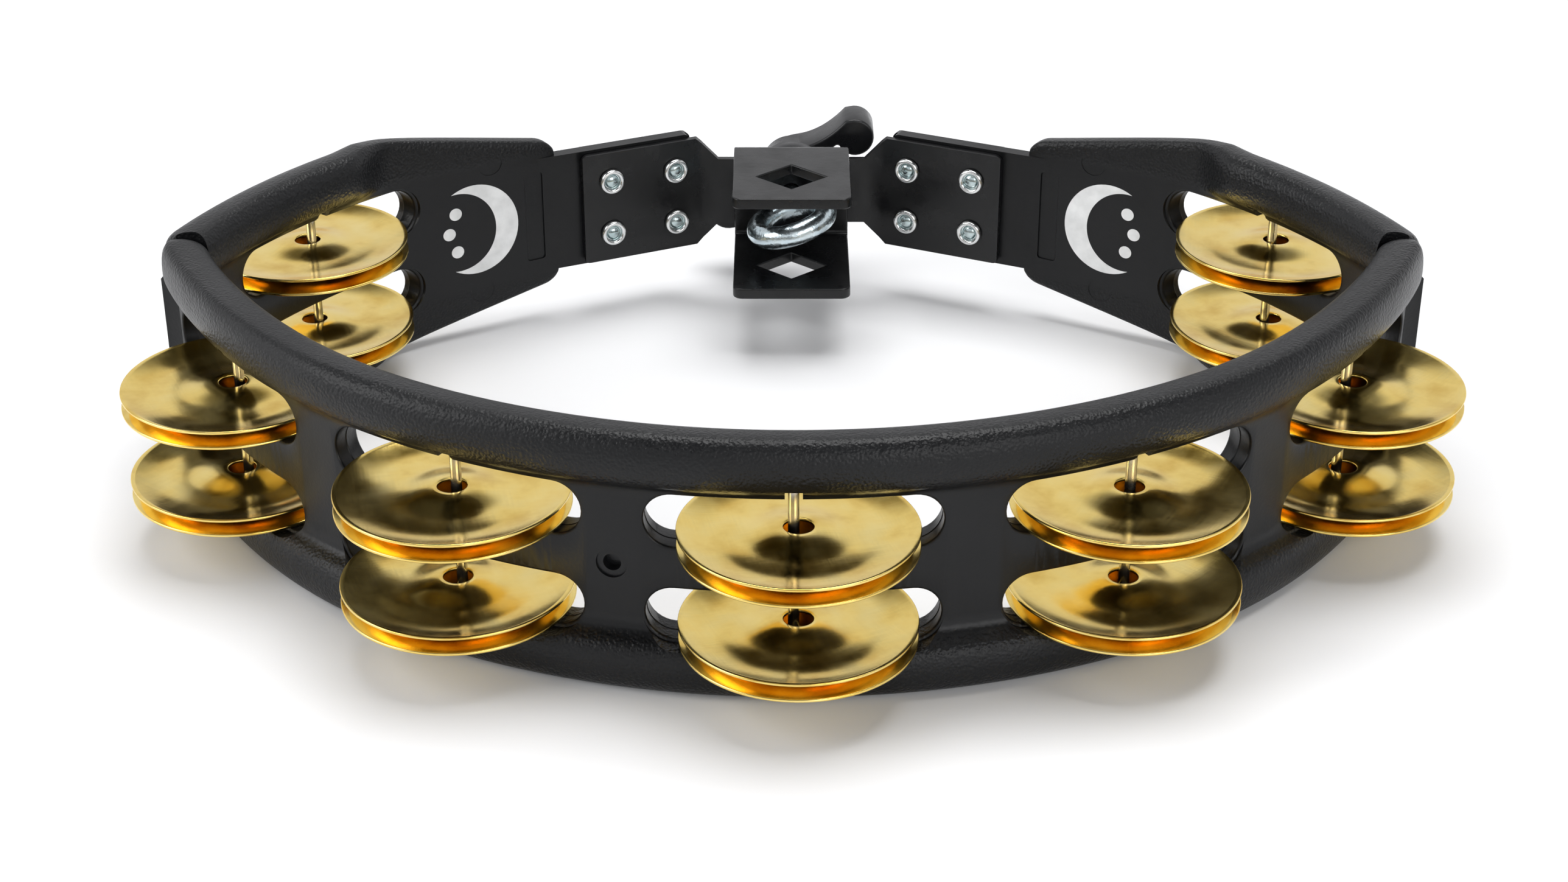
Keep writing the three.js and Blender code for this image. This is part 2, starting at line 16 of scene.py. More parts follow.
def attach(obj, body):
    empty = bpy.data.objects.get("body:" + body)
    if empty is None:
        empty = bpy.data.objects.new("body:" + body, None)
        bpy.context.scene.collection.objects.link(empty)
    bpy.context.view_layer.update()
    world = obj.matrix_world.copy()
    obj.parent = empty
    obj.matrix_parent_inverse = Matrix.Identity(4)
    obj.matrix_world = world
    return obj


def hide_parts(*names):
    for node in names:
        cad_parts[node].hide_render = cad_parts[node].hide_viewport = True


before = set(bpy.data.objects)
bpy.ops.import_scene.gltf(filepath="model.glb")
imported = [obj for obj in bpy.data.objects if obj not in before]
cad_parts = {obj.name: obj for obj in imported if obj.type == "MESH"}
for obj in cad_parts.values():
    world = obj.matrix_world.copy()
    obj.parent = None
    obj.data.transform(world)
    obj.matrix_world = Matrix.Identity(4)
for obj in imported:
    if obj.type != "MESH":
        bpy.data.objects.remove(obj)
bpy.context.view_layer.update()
scene = bpy.context.scene
dice = random.Random(7)

MM = 0.001
ORIGIN = Vector((0, 55.26, 30.6))  # from the arc's centre to the shared frame, in mm

# moulded frame
HALF_HEIGHT = 30.6
WEB_HALF = 4.0
BULGE = 5.5
BOW_RADIUS = 153.0
BOW_HALF_ANGLE = 69.4
BOW_END_ROUND = 6.0
BOW_END_DROP = 2.5
BOW_TAPER = 2.5
BOW_TAPER_ANGLES = (35, 60)
BOW_STEPS = 110
BACK_LIP = 0.4  # how far the full bead overhangs the plain side of the web
EDGE_ROUND = 1.5
BEAD_ROOT = 16.6  # depths below the frame's edge, from the flat web up to the bead's full width
BEAD_FOOT = 13.4
BEAD_FILLET = 12.4
BEAD_LOW = 11.0
BEAD_HIGH = 6.6
BACK_ROOT = 12.6
WING_RADIUS = 154.7
WING_CENTRE_Y = -103.0
WING_START = 71.5
WING_CORNER_ROUND = 5.0
BEAD_FULL = 49.5
BEAD_GONE = 43.4
WING_STEPS = 112
WING_TOOL_FROM = 40  # where the tool that ends each wing starts along the bow, in degrees
PLATE_BACK = 2.4
PLATE_END = Vector((64.6, 34.8))
PLATE_END_ANGLE = 31.0
PLATE_END_HALF_HEIGHT = 19.8
PLATE_CORNER = 4.0
PLATE_TAPER_X = 112.0
PLATE_LEAVE = 8.0  # how far the plate holds the wing's direction, and then its end's
PLATE_ARRIVE = 15.0
PLATE_STEPS = 60
PLATE_EDGE = 1.2
PANEL = ((66.6, -12.5), (71.2, 12.5))  # a plain sunk panel near the plate's end, as (x, height)
EJECTOR_MARKS = ((79.5, 17.6, 3.2), (83.0, -18.0, 3.2))  # (x, height, radius)

# slots and pins
SLOT_HEIGHT = 12.2
BOW_SLOT_LENGTH = 62.0
WING_SLOT_LENGTH = 59.0
SLOT_EDGE = 0.75
SLOT_REACH = 14.0
SLOT_STEPS = 24
PARTING_LINE = [(0.35, -0.02), (0.15, -0.16)]  # (depth from the web's middle, growth of the slot)
ROWS = {"upper": 9.4, "lower": -12.8}
SLOT_PITCH = 27.8
BOW_PIN_RADIUS = 153.3
WING_PIN_RADIUS = 155.5
WING_PIN_ANGLE = 52.0
PIN_RADIUS = 1.2
PIN_ENDS = (-23.0, 20.5)
PIN_EASE = 0.5
NOTCH_WIDTH = 3.7
NOTCH_TOP = 19.5
NOTCH_REACH = 12.0
NOTCH_OVERLAP = 1.5
RECESS_ANGLE = -14.0  # a small moulded recess in the bow's web
RECESS_HEIGHT = -2.0
RECESS_STEPS = ((3.35, 0.55), (1.85, 2.6))  # (radius, depth)
RECESS_FLARE = 0.25

# jingles
DISC_RADIUS = 25.4
DISC_HOLE = 3.2
DISC_GAUGE = 0.7
DISC_CROWN = 1.6
DISC_TROUGH = 0.15
DISC_CROWN_REACH = 9.6
DISC_FLARE_FROM = 17.5
DISC_FLARE_POWER = 1.7
DISC_RIM_ROUND = 0.25
DISC_LIP_ROUND = 0.2
DISC_STEPS = 26
DISC_HANG = 1.6
LEAN = {"bow_middle": 40, "bow_right": -40}  # degrees from straight outwards
DISC_DROP = 3.5  # from a slot's middle down to the middle of its pair

# bracket ears and rivets
EAR = Vector((40.05, 38.8))
EAR_ANGLE = 24.7
STRAP = 1.8
GAP = 0.3
TONGUE_THICKNESS = 3.5
TONGUE_REACH = (-14.5, 32.0)
TONGUE_HALF_HEIGHT = 16.3
RIVET_U = 9.3
RIVET_ROWS = {"upper": 7.4, "lower": -7.6}
RIVET_HEAD = 3.5
RIVET_DOME = 2.1
RIVET_SHANK = 2.0
RIVET_RING = 2.8
RIVET_RING_HALF = 0.66
RIVET_CORE_FRONT = -1.15
RIVET_TAIL = [(3.4, 0.02), (3.2, 0.6), (2.5, 1.0), (1.5, 0.9), (0.0, 0.5)]  # (radius, height behind)

# clamp hardware
EYE_RING = 9.4
EYE_WIRE = 3.0
EYE_TILT = 16.0
EYE_TURNS = 72
EYE_SIDES = 28
EYE_Y = 24.5
BOLT_END = 68.0
THREAD_FROM = 46.0
THREAD_STEP = 0.5
THREAD_DEPTH = 0.35
HANDLE_HUB = 10.5
HANDLE_BOSS = 8.0
HANDLE_BORE = 5.3
ARM_BEVEL = 1.1
HANDLE_TIP = Vector((17.6, 11.0))
HANDLE_TIP_RADIUS = 5.3
HANDLE_FROM = 51.1
HUB_DEPTH = 7.0
ARM_FROM = 57.4
ARM_TO = 69.4

# printed mark
MARK_X = 84.0
MARK_RADIUS = 12.6
MARK_SQUEEZE = 0.86
MARK_INNER = 4.2  # how far the crescent's inner circle is shifted
MARK_DOTS = ((4.6, 5.4, 1.7), (6.4, 0.0, 1.7), (4.6, -5.4, 1.7))  # (along, height, radius)
DOT_SQUEEZE = 0.9
INK = (-0.02, 0.06)  # from just under the plate's face to the ink's own

# view
SKY = [(0.0, 0.9), (0.56, 1.0), (0.68, 0.16), (0.9, 0.12), (1.0, 0.4)]  # (place on the ramp, grey)
SKY_STRENGTH = 0.85
FLOOR_REACH = 4.0  # metres
FLOOR_DROP = 0.0004  # metres
CAMERA_PLACE = Vector((-2.0, -624.4, 275.6))
CAMERA_PITCH = 27.79  # degrees down
CAMERA_LENS = 60.3
SENSOR_WIDTH = 36.0


# ---- mesh helpers ----
def rad(angle):
    return math.radians(angle)


def mix(low, high, share):
    return low + (high - low) * share


def spread(low, high, steps):
    return [mix(low, high, step / steps) for step in range(steps + 1)]


def smoothstep(value, low, high):
    share = min(1.0, max(0.0, (value - low) / (high - low)))
    return share * share * (3 - 2 * share)


def new_object(name, points, faces):
    """An object whose mesh is given in mm about the arc's centre."""
    mesh = bpy.data.meshes.new(name)
    mesh.from_pydata([(Vector(point) + ORIGIN) * MM for point in points], [], faces)
    mesh.validate()
    piece = bpy.data.objects.new(name, mesh)
    scene.collection.objects.link(piece)
    tidy_mesh(mesh)
    return piece


def tidy_mesh(mesh):
    merge = 0.001 * MM
    made = bmesh.new()
    made.from_mesh(mesh)
    bmesh.ops.remove_doubles(made, verts=made.verts, dist=merge)
    bmesh.ops.dissolve_degenerate(made, edges=made.edges, dist=merge)
    bmesh.ops.recalc_face_normals(made, faces=made.faces)
    made.to_mesh(mesh)
    made.free()


def smooth(piece, angle):
    mesh = piece.data
    mesh.polygons.foreach_set("use_smooth", [True] * len(mesh.polygons))
    mesh.set_sharp_from_angle(angle=rad(angle))
    mesh.update()


def combine(piece, other, operation):
    """Joins or cuts piece with other, which is used up."""
    modifier = piece.modifiers.new("combine", "BOOLEAN")
    modifier.object = other
    modifier.operation = operation
    modifier.solver = "EXACT"
    graph = bpy.context.evaluated_depsgraph_get()
    mesh = bpy.data.meshes.new_from_object(piece.evaluated_get(graph))
    piece.modifiers.clear()
    piece.data = mesh
    bpy.data.objects.remove(other)
    tidy_mesh(mesh)


def finish_piece(piece, material, body, replaced=(), angle=35):
    smooth(piece, angle)
    if not piece.data.materials:
        piece.data.materials.append(material)
    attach(piece, body)
    if replaced:
        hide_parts(*replaced)
    return piece


def loft(name, rings, closed=False):
    """A solid through rings of equally many points; a closed one runs back into its first ring."""
    count, total = len(rings[0]), len(rings)
    points = [point for ring in rings for point in ring]
    faces = []
    for step in range(total if closed else total - 1):
        low, high = step * count, (step + 1) % total * count
        for place in range(count):
            beside = (place + 1) % count
            faces.append((low + place, low + beside, high + beside, high + place))
    if not closed:
        faces.append(tuple(range(count)))
        faces.append(tuple((total - 1) * count + place for place in reversed(range(count))))
    return new_object(name, points, faces)


def lathe(name, profile, place, segments):
    """Turns a closed profile of (radius, height) points; place maps (x, y, height) to a point."""
    points = []
    faces = []
    count = len(profile)
    for turn in range(segments):
        angle = 2 * math.pi * turn / segments
        for radius, height in profile:
            points.append(place(radius * math.cos(angle), radius * math.sin(angle), height))
    for turn in range(segments):
        here, ahead = turn * count, (turn + 1) % segments * count
        for step in range(count):
            up = (step + 1) % count
            faces.append((here + step, ahead + step, ahead + up, here + up))
    return new_object(name, points, faces)


def extruded(name, outline, place, low, high):
    """A prism over a flat outline; place maps (a, b, depth) to a point."""
    return loft(name, [[place(a, b, depth) for a, b in outline] for depth in (low, high)])


def bevelled(piece, width, segments=3, angle=30):
    made = bmesh.new()
    made.from_mesh(piece.data)
    bmesh.ops.dissolve_limit(made, angle_limit=rad(1), verts=made.verts, edges=made.edges)
    edges = [
        edge for edge in made.edges if len(edge.link_faces) == 2 and edge.calc_face_angle() > rad(angle)
    ]
    bmesh.ops.bevel(
        made,
        geom=edges,
        offset=width * MM,
        segments=segments,
        profile=0.5,
        affect="EDGES",
        clamp_overlap=True,
    )
    made.to_mesh(piece.data)
    made.free()
    modifier = piece.modifiers.new("flat faces", "WEIGHTED_NORMAL")
    modifier.keep_sharp = True
    return piece


def set_stops(ramp, stops):
    """Gives a colour ramp its (position, colour) stops."""
    while len(ramp.elements) < len(stops):
        ramp.elements.new(0.5)
    for element, (position, colour) in zip(ramp.elements, stops):
        element.position = position
        element.color = (*colour, 1)


def from_node(node, width, material, body):
    """A copy of a CAD node with its edges rounded."""
    piece = bpy.data.objects.new(node + "_piece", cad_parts[node].data.copy())
    piece.data.materials.clear()
    for attribute in [a for a in piece.data.attributes if a.name == "custom_normal"]:
        piece.data.attributes.remove(attribute)
    scene.collection.objects.link(piece)
    tidy_mesh(piece.data)
    bevelled(piece, width)
    return finish_piece(piece, material, body, [node], 40)


# ---- materials ----
class Nodes:
    """Short calls for building a material's nodes."""

    def __init__(self, name):
        self.material = bpy.data.materials.new(name)
        self.material.use_nodes = True
        self.tree = self.material.node_tree
        self.shader = self.tree.nodes["Principled BSDF"]
        self.place = self.add("ShaderNodeTexCoord").outputs["Object"]

    def add(self, kind, **settings):
        node = self.tree.nodes.new(kind)
        for key, value in settings.items():
            setattr(node, key, value)
        return node

    def link(self, source, target):
        self.tree.links.new(source, target)

    def stretched(self, scale):
        node = self.add("ShaderNodeMapping")
        node.inputs["Scale"].default_value = scale
        self.link(self.place, node.inputs["Vector"])
        return node.outputs["Vector"]

    def noise(self, scale, detail, vector=None):
        node = self.add("ShaderNodeTexNoise")
        node.inputs["Scale"].default_value = scale
        node.inputs["Detail"].default_value = detail
        self.link(vector or self.place, node.inputs["Vector"])
        return node.outputs["Fac"]

    def cells(self, scale):
        node = self.add("ShaderNodeTexVoronoi", feature="SMOOTH_F1")
        node.inputs["Scale"].default_value = scale
        self.link(self.place, node.inputs["Vector"])
        return node.outputs["Distance"]

    def ranged(self, source, low, high, to_low, to_high, smooth_step=False):
        node = self.add("ShaderNodeMapRange")
        if smooth_step:
            node.interpolation_type = "SMOOTHSTEP"
        for key, value in zip(("From Min", "From Max", "To Min", "To Max"), (low, high, to_low, to_high)):
            node.inputs[key].default_value = value
        self.link(source, node.inputs["Value"])
        return node.outputs["Result"]

    def maths(self, operation, first, second):
        node = self.add("ShaderNodeMath", operation=operation)
        for socket, value in zip(node.inputs, (first, second)):
            if isinstance(value, (int, float)):
                socket.default_value = value
            else:
                self.link(value, socket)
        return node.outputs["Value"]

    def colours(self, source, stops):
        node = self.add("ShaderNodeValToRGB")
        set_stops(node.color_ramp, stops)
        self.link(source, node.inputs["Fac"])
        return node.outputs["Color"]

    def bump(self, height, distance, strength, normal=None):
        node = self.add("ShaderNodeBump")
        node.inputs["Distance"].default_value = distance
        node.inputs["Strength"].default_value = strength
        self.link(height, node.inputs["Height"])
        if normal:
            self.link(normal, node.inputs["Normal"])
        return node.outputs["Normal"]

    def finish(self, colour, roughness, normal=None, metallic=0.0, **values):
        shader = self.shader
        shader.inputs["Metallic"].default_value = metallic
        for key, value in values.items():
            shader.inputs[key.replace("_", " ")].default_value = value
        for key, source in (("Base Color", colour), ("Roughness", roughness), ("Normal", normal)):
            if source:
                self.link(source, shader.inputs[key])
        return self.material


def moulded_black():
    """Satin black plastic: a pebble grain on the edge beads, a finer satin on the web."""
    make = Nodes("moulded_black")
    parts = make.add("ShaderNodeSeparateXYZ")
    make.link(make.place, parts.inputs["Vector"])
    from_middle = make.maths("ABSOLUTE", make.maths("SUBTRACT", parts.outputs["Z"], ORIGIN.z * MM), 0)
    bead = make.ranged(from_middle, 0.0165, 0.0195, 0.12, 1.0, True)
    pebble = make.ranged(make.cells(1500), 0.0, 0.75, 0.0, 1.0)
    fine = make.noise(3800, 2)
    grain = make.maths("ADD", make.maths("MULTIPLY", pebble, 0.8), make.maths("MULTIPLY", fine, 0.35))
    waves = make.noise(55, 3)
    scuffs = make.noise(1.0, 6, make.stretched((900, 900, 90)))
    normal = make.bump(make.maths("MULTIPLY", grain, bead), 0.0002, 0.9)
    normal = make.bump(waves, 0.0006, 0.22, normal)
    rubbed = make.maths("MULTIPLY", make.ranged(make.noise(38, 5), 0.35, 0.75, 0.0, 1.0), scuffs)
    roughness = make.ranged(rubbed, 0.0, 0.6, 0.3, 0.48)
    colour = make.colours(
        make.noise(24, 5), [(0.2, (0.0035, 0.0037, 0.0042)), (0.8, (0.0065, 0.0069, 0.0078))]
    )
    return make.finish(colour, roughness, normal, Specular_IOR_Level=0.27)


def handle_black():
    """Smoother moulded plastic, worn a little glossy by handling."""
    make = Nodes("handle_black")
    normal = make.bump(make.noise(1400, 3), 0.00005, 0.5)
    normal = make.bump(make.noise(120, 3), 0.0004, 0.2, normal)
    roughness = make.ranged(make.noise(160, 6), 0.3, 0.75, 0.24, 0.42)
    colour = make.colours(
        make.noise(60, 4), [(0.2, (0.005, 0.0052, 0.006)), (0.8, (0.009, 0.0094, 0.011))]
    )
    return make.finish(colour, roughness, normal, Specular_IOR_Level=0.4)


def coated_steel():
    """Semi-gloss black powder coat with a faint orange peel."""
    make = Nodes("coated_steel")
    peel = make.noise(620, 2)
    normal = make.bump(peel, 0.00010, 0.32)
    normal = make.bump(make.noise(90, 2), 0.0004, 0.15, normal)
    roughness = make.ranged(make.noise(130, 7), 0.3, 0.75, 0.2, 0.4)
    colour = make.colours(
        make.noise(40, 4), [(0.25, (0.0028, 0.0029, 0.0033)), (0.8, (0.0055, 0.0057, 0.0063))]
    )
    return make.finish(colour, roughness, normal, Specular_IOR_Level=0.38)


def polished_brass():
    """Rolled brass with turning marks, handling scratches and a patchy tarnish."""
    make = Nodes("polished_brass")
    parts = make.add("ShaderNodeSeparateXYZ")
    make.link(make.place, parts.inputs["Vector"])
    across = make.add("ShaderNodeCombineXYZ")
    make.link(parts.outputs["X"], across.inputs["X"])
    make.link(parts.outputs["Y"], across.inputs["Y"])
    length = make.add("ShaderNodeVectorMath", operation="LENGTH")
    make.link(across.outputs["Vector"], length.inputs[0])
    radius = length.outputs["Value"]
    rings = make.add("ShaderNodeCombineXYZ")
    make.link(make.maths("MULTIPLY", radius, 9000), rings.inputs["X"])
    turning = make.noise(1.0, 3, rings.outputs["Vector"])
    scratches = make.noise(1.0, 5, make.stretched((2600, 90, 200)))
    cross = make.noise(1.0, 5, make.stretched((130, 2200, 200)))
    marks = make.maths("ADD", make.maths("MULTIPLY", scratches, 0.6), make.maths("MULTIPLY", cross, 0.6))
    marks = make.maths("ADD", marks, make.maths("MULTIPLY", turning, 0.5))
    normal = make.bump(marks, 0.000014, 0.35)
    normal = make.bump(make.noise(60, 2), 0.0007, 0.16, normal)
    tarnish = make.noise(95, 6)
    colour = make.colours(
        tarnish, [(0.28, (0.68, 0.44, 0.08)), (0.5, (0.88, 0.65, 0.19)), (0.8, (0.95, 0.77, 0.31))]
    )
    roughness = make.ranged(make.maths("MULTIPLY", tarnish, marks), 0.15, 0.6, 0.08, 0.24)
    return make.finish(colour, roughness, normal, 1.0)


def bright_steel(name, colours, grain, roughness_range, bump_distance, coarse=0.0):
    """Bare or plated steel: colours are its two shades, and coarse adds a cast surface's grain."""
    make = Nodes(name)
    drawn = make.noise(1.0, 4, make.stretched(grain))
    normal = make.bump(drawn, bump_distance, 0.5)
    if coarse:
        normal = make.bump(make.noise(420, 4), coarse, 0.45, normal)
    cloud = make.noise(260, 5)
    colour = make.colours(cloud, [(0.3, colours[0]), (0.7, colours[1])])
    roughness = make.ranged(cloud, 0.3, 0.7, *roughness_range)
    return make.finish(colour, roughness, normal, 1.0)


def white_print():
    """Matt screen-printed ink, slightly uneven."""
    make = Nodes("white_print")
    normal = make.bump(make.noise(2400, 3), 0.00003, 0.5)
    roughness = make.ranged(make.noise(500, 4), 0.3, 0.7, 0.38, 0.58)
    colour = make.colours(make.noise(300, 5), [(0.3, (0.70, 0.71, 0.71)), (0.7, (0.84, 0.85, 0.85))])
    return make.finish(colour, roughness, normal)


def pale_floor():
    """A nearly even pale studio floor."""
    make = Nodes("pale_floor")
    colour = make.colours(make.noise(3, 3), [(0.3, (0.86, 0.865, 0.875)), (0.7, (0.88, 0.885, 0.895))])
    roughness = make.ranged(make.noise(40, 3), 0.3, 0.7, 0.55, 0.65)
    return make.finish(colour, roughness)


FRAME_BLACK = moulded_black()
HANDLE_BLACK = handle_black()
BLACK_STEEL = coated_steel()
BRASS = polished_brass()
PIN_STEEL = bright_steel(
    "pin_wire", ((0.52, 0.50, 0.46), (0.68, 0.66, 0.60)), (4000, 4000, 120), (0.16, 0.3), 0.00003
)
NICKEL = bright_steel(
    "rivet_nickel", ((0.66, 0.67, 0.67), (0.82, 0.83, 0.82)), (900, 900, 900), (0.12, 0.26), 0.00006
)
RIVET_CORE = bright_steel(
    "rivet_core", ((0.40, 0.50, 0.51), (0.60, 0.69, 0.69)), (700, 700, 700), (0.12, 0.3), 0.00014
)
ZINC = bright_steel(
    "zinc_plate", ((0.52, 0.62, 0.67), (0.74, 0.83, 0.86)), (500, 500, 500), (0.14, 0.34), 0.0001, 0.0005
)
PRINT = white_print()


# ---- frame mouldings ----
def curve(points, steps):
    """Points along a Bezier curve of any degree, without its first point."""
    made = []
    for step in range(1, steps + 1):
        share = step / steps
        level = [Vector(point) for point in points]
        while len(level) > 1:
            level = [a.lerp(b, share) for a, b in zip(level, level[1:])]
        made.append(level[0])
    return made


def section(bulge, top, back, front=WEB_HALF):
    """The frame's cross-section as (towards the bead's side, height) points.

    bulge runs from 0, a plate with a rounded edge, to 1, the full bead. The lower half mirrors the
    upper one. Each list holds a Bezier curve's points, at depths below the edge.
    """
    plain = front - EDGE_ROUND
    full = front + BULGE * bulge
    start = (front, top - BEAD_ROOT)
    lower = [start, (front, top - BEAD_FOOT), (front + 2.2 * bulge, top - BEAD_FILLET)]
    swell = [lower[-1], (full, top - BEAD_LOW), (full, top - BEAD_HIGH)]
    crest = [
        swell[-1],
        (full, mix(top - 0.9, top - 2.0, bulge)),
        (full - mix(0.6, 2.0, bulge), top),
        (mix(plain, front + 1.5, bulge), top),
    ]
    slope = [
        crest[-1],
        (mix(EDGE_ROUND - back, front - 4.5, bulge), top),
        (-back, mix(top - 0.3, top - 2.4, bulge)),
        (-back, mix(top - 2.0, top - 8.1, bulge)),
    ]
    half = [Vector(start)]
    for points, steps in ((lower, 5), (swell, 7), (crest, 9), (slope, 14)):
        half += curve(points, steps)
    half.append(Vector((mix(-back, -WEB_HALF, bulge), top - BACK_ROOT)))
    return half + [Vector((out, -height)) for out, height in reversed(half)]


def arc_point(radius, angle, centre_y, side):
    """A point in plan, angle degrees round from the middle of the front (side -1) or the back (1)."""
    return Vector((radius * math.sin(rad(angle)), centre_y + side * radius * math.cos(rad(angle))))


def ring_at(centre, outward, points):
    """Stands a cross-section up at a point of the frame's line in plan."""
    return [(centre.x + outward.x * out, centre.y + outward.y * out, height) for out, height in points]


def bow_rings():
    """The bow's cross-sections from left to right, closer together round its two ends."""
    rings = []
    middle = (BULGE - BOW_TAPER) / 2
    angles = [BOW_HALF_ANGLE * step / BOW_STEPS for step in range(-BOW_STEPS, BOW_STEPS + 1)]
    reach = math.degrees(BOW_END_ROUND / BOW_RADIUS)
    extra = [BOW_HALF_ANGLE - reach * (1 - math.sin(rad(turn))) for turn in range(5, 90, 12)]
    angles = [a for a in angles if abs(a) < BOW_HALF_ANGLE - reach]
    angles = [-a for a in reversed(extra)] + angles + extra
    for angle in angles:
        taper = BOW_TAPER * smoothstep(abs(angle), *BOW_TAPER_ANGLES) / BULGE
        left = (BOW_HALF_ANGLE - abs(angle)) / reach
        squeeze = 1.0 if left >= 1 else math.sqrt(max(0.0, 1 - (1 - left) ** 2))
        drop = (1 - squeeze) * BOW_END_DROP
        points = []
        for out, height in section(1 - taper, HALF_HEIGHT, WEB_HALF + BACK_LIP):
            sunk = height - math.copysign(drop, height) * smoothstep(abs(height), 20, HALF_HEIGHT)
            points.append((middle + (out - middle) * squeeze, sunk))
        centre = arc_point(BOW_RADIUS, angle, 0, -1)
        outward = Vector((math.sin(rad(angle)), -math.cos(rad(angle))))
        rings.append(ring_at(centre, outward, points))
    return rings


def bow_outline(margin):
    """The bow's outline in plan, grown by a margin, as the tool that ends each wing."""
    inner = BOW_RADIUS - WEB_HALF - BACK_LIP - margin
    outer = BOW_RADIUS + WEB_HALF + BULGE - BOW_TAPER + margin
    middle, half = (inner + outer) / 2, (outer - inner) / 2
    end = BOW_HALF_ANGLE - math.degrees(BOW_END_ROUND / middle)
    outline = [arc_point(outer, angle, 0, -1) for angle in range(WING_TOOL_FROM, int(end), 2)]
    for turn in range(0, 181, 9):
        reach = math.degrees((BOW_END_ROUND + margin) * math.sin(rad(turn)) / middle)
        outline.append(arc_point(middle + half * math.cos(rad(turn)), end + reach, 0, -1))
    back = range(int(end) - 1, WING_TOOL_FROM - 1, -2)
    return outline + [arc_point(inner, angle, 0, -1) for angle in back]


def wing_line():
    """Stations (point, outward direction, arc angle or None) from the corner to the plate's end."""
    stations = []
    for step in range(WING_STEPS + 1):
        angle = WING_START - step * (WING_START - BEAD_GONE) / WING_STEPS
        outward = Vector((math.sin(rad(angle)), math.cos(rad(angle))))
        centre = arc_point(WING_RADIUS, angle, WING_CENTRE_Y, 1)
        stations.append((centre, outward, angle))
    start = stations[-1][0]
    leave = Vector((-math.cos(rad(BEAD_GONE)), math.sin(rad(BEAD_GONE)))) * PLATE_LEAVE
    arrive = Vector((math.cos(rad(PLATE_END_ANGLE)), -math.sin(rad(PLATE_END_ANGLE)))) * PLATE_ARRIVE
    line = curve([start, start + leave, PLATE_END + arrive, PLATE_END], PLATE_STEPS)
    for before, point in zip([start] + line, line):
        along = (point - before).normalized()
        stations.append((point, Vector((along.y, -along.x)), None))
    return stations


WING_LINE = wing_line()


def wing_rings():
    """The right wing's cross-sections from its corner to the plate's end."""
    rings = []
    slope = (HALF_HEIGHT - PLATE_END_HALF_HEIGHT) / (PLATE_TAPER_X - PLATE_END.x)
    for centre, outward, angle in WING_LINE:
        bulge = 0.0 if angle is None else smoothstep(angle, BEAD_GONE, BEAD_FULL)
        back = mix(PLATE_BACK, WEB_HALF + BACK_LIP, bulge)
        if angle is not None:
            from_corner = (centre - WING_LINE[0][0]).length
            left = max(0.0, 1 - from_corner / WING_CORNER_ROUND)
            back -= WING_CORNER_ROUND * (1 - math.sqrt(1 - left * left)) * 0.9
        top = min(HALF_HEIGHT, PLATE_END_HALF_HEIGHT + slope * (centre.x - PLATE_END.x))
        left = max(0.0, 1 - (centre.x - PLATE_END.x) / PLATE_CORNER)
        top -= PLATE_CORNER * (1 - math.sqrt(max(0.0, 1 - left * left)))
        left = max(0.0, 1 - (centre - PLATE_END).length / PLATE_EDGE)
        inset = PLATE_EDGE * (1 - math.sqrt(max(0.0, 1 - left * left)))
        shape = section(bulge, top, back - inset, WEB_HALF - inset)
        rings.append(ring_at(centre, -outward, shape))
    return rings


def mirrored_points(rings):
    return [[(-x, y, z) for x, y, z in ring] for ring in rings]


def slot_levels():
    """(depth from the web's middle, growth of the slot) from the inner face to the outer."""
    levels = []
    for share in (1.0, 0.8, 0.55, 0.3, 0.0):
        growth = SLOT_EDGE * (1 - math.sqrt(1 - share * share))
        levels.append((WEB_HALF - SLOT_EDGE + SLOT_EDGE * share, growth))
    side = [(SLOT_REACH, SLOT_EDGE), (WEB_HALF + 0.02, SLOT_EDGE)] + levels + PARTING_LINE
    return [(-depth, growth) for depth, growth in side] + side[::-1]


def slot_tool(name, spot, arc_radius, pin_radius, length, height):
    """One slot's cutter: straight walls, rounded mouths and a thin parting line half way."""
    point, along, outward = spot
    rings = []
    for depth, growth in slot_levels():
        ring = []
        half, tall = length / 2 + growth, SLOT_HEIGHT / 2 + growth
        shares = [step / SLOT_STEPS for step in range(1, SLOT_STEPS)]
        outline = []
        for turn in range(-90, 91, 10):
            outline.append((half - tall + tall * math.cos(rad(turn)), tall * math.sin(rad(turn))))
        outline += [(mix(half - tall, tall - half, share), tall) for share in shares]
        for turn in range(90, 271, 10):
            outline.append((tall - half + tall * math.cos(rad(turn)), tall * math.sin(rad(turn))))
        outline += [(mix(tall - half, half - tall, share), -tall) for share in shares]
        for across, up in outline:
            out = math.sqrt((arc_radius + depth) ** 2 - across**2) - pin_radius
            flat = point + along * across + outward * out
            ring.append((flat.x, flat.y, height + up))
        rings.append(ring)
    return loft(name, rings)


def notch_tool(name, spot, side):
    """Cuts the pin's entry above the upper slot, open on the bead's side."""
    point, along, outward = spot
    base = ROWS["upper"] + SLOT_HEIGHT / 2
    half = NOTCH_WIDTH / 2
    outline = [(half, NOTCH_REACH), (-half, NOTCH_REACH)]
    outline += [(-half * math.cos(rad(turn)), -half * math.sin(rad(turn))) for turn in range(0, 181, 15)]

    def place(across, out, height):
        flat = point + along * across + outward * out * side
        return (flat.x, flat.y, height)

    return extruded(name, outline, place, base - NOTCH_OVERLAP, NOTCH_TOP)


def spot_at(x, y, turn):
    """A place on the frame in plan: its point, and the directions along the frame and outwards."""
    along = Vector((math.cos(rad(turn)), math.sin(rad(turn))))
    return Vector((x, y)), along, Vector((math.sin(rad(turn)), -math.cos(rad(turn))))


